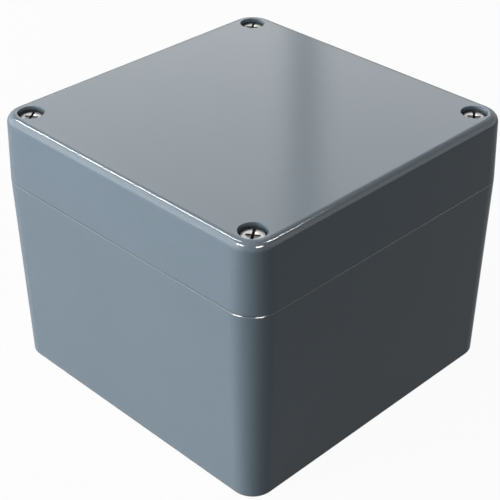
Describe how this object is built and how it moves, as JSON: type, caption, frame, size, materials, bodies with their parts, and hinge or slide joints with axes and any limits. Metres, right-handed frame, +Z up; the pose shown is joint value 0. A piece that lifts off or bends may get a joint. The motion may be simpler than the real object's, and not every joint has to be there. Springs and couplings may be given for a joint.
{
  "type": "die cast aluminium box",
  "caption": "Square die cast aluminium enclosure with a screwed-on gasketed cover, corner pillars outside the seal and hidden wall fixing holes.",
  "frame": {"origin": "middle of the base's flat underside", "axes": "+Z points up through the cover, square to the underside; X and Y run along the sides, and the wall fixing holes lie beside the cover screws along Y"},
  "size_m": [0.101, 0.101, 0.08],
  "materials": {
    "housing_paint": "satin",
    "gasket_rubber": "matte",
    "screw_steel": "satin",
    "retainer_nylon": "satin",
    "clamp_brass": "satin"
  },
  "bodies": {
    "base": {"base_housing": "housing_paint", "base_earth_clamp": "clamp_brass", "base_earth_spring_washer": "screw_steel", "base_earth_screw": "screw_steel"},
    "cover": {"cover": "housing_paint", "cover_gasket": "gasket_rubber", "cover_earth_clamp": "clamp_brass", "cover_earth_spring_washer": "screw_steel", "cover_earth_screw": "screw_steel"},
    "retainer_1": {"screw_retainer_1": "retainer_nylon"},
    "retainer_2": {"screw_retainer_2": "retainer_nylon"},
    "retainer_3": {"screw_retainer_3": "retainer_nylon"},
    "retainer_4": {"screw_retainer_4": "retainer_nylon"},
    "screw_1": {"cover_screw_1": "screw_steel"},
    "screw_2": {"cover_screw_2": "screw_steel"},
    "screw_3": {"cover_screw_3": "screw_steel"},
    "screw_4": {"cover_screw_4": "screw_steel"}
  },
  "joints": [
    {"name": "cover_lift", "type": "slide", "parent": "base", "child": "cover", "axis": [0, 0, 1], "range_m": [0, 0.1]},
    {"name": "screw_rise_1", "type": "slide", "parent": "cover", "child": "retainer_1", "axis": [0, 0, 1], "range_m": [0, 0.0077]},
    {"name": "screw_rise_2", "type": "slide", "parent": "cover", "child": "retainer_2", "axis": [0, 0, 1], "range_m": [0, 0.0077]},
    {"name": "screw_rise_3", "type": "slide", "parent": "cover", "child": "retainer_3", "axis": [0, 0, 1], "range_m": [0, 0.0077]},
    {"name": "screw_rise_4", "type": "slide", "parent": "cover", "child": "retainer_4", "axis": [0, 0, 1], "range_m": [0, 0.0077]},
    {"name": "screw_turn_1", "type": "hinge", "parent": "retainer_1", "child": "screw_1", "pos_m": [-0.043, -0.043, 0.0788], "axis": [0, 0, 1], "range_deg": [0, 3960]},
    {"name": "screw_turn_2", "type": "hinge", "parent": "retainer_2", "child": "screw_2", "pos_m": [0.043, -0.043, 0.0788], "axis": [0, 0, 1], "range_deg": [0, 3960]},
    {"name": "screw_turn_3", "type": "hinge", "parent": "retainer_3", "child": "screw_3", "pos_m": [0.043, 0.043, 0.0788], "axis": [0, 0, 1], "range_deg": [0, 3960]},
    {"name": "screw_turn_4", "type": "hinge", "parent": "retainer_4", "child": "screw_4", "pos_m": [-0.043, 0.043, 0.0788], "axis": [0, 0, 1], "range_deg": [0, 3960]}
  ],
  "couplings": [
    {"joint": "screw_turn_1", "follows": "screw_rise_1", "rad_per_m": 8976},
    {"joint": "screw_turn_2", "follows": "screw_rise_2", "rad_per_m": 8976},
    {"joint": "screw_turn_3", "follows": "screw_rise_3", "rad_per_m": 8976},
    {"joint": "screw_turn_4", "follows": "screw_rise_4", "rad_per_m": 8976}
  ]
}
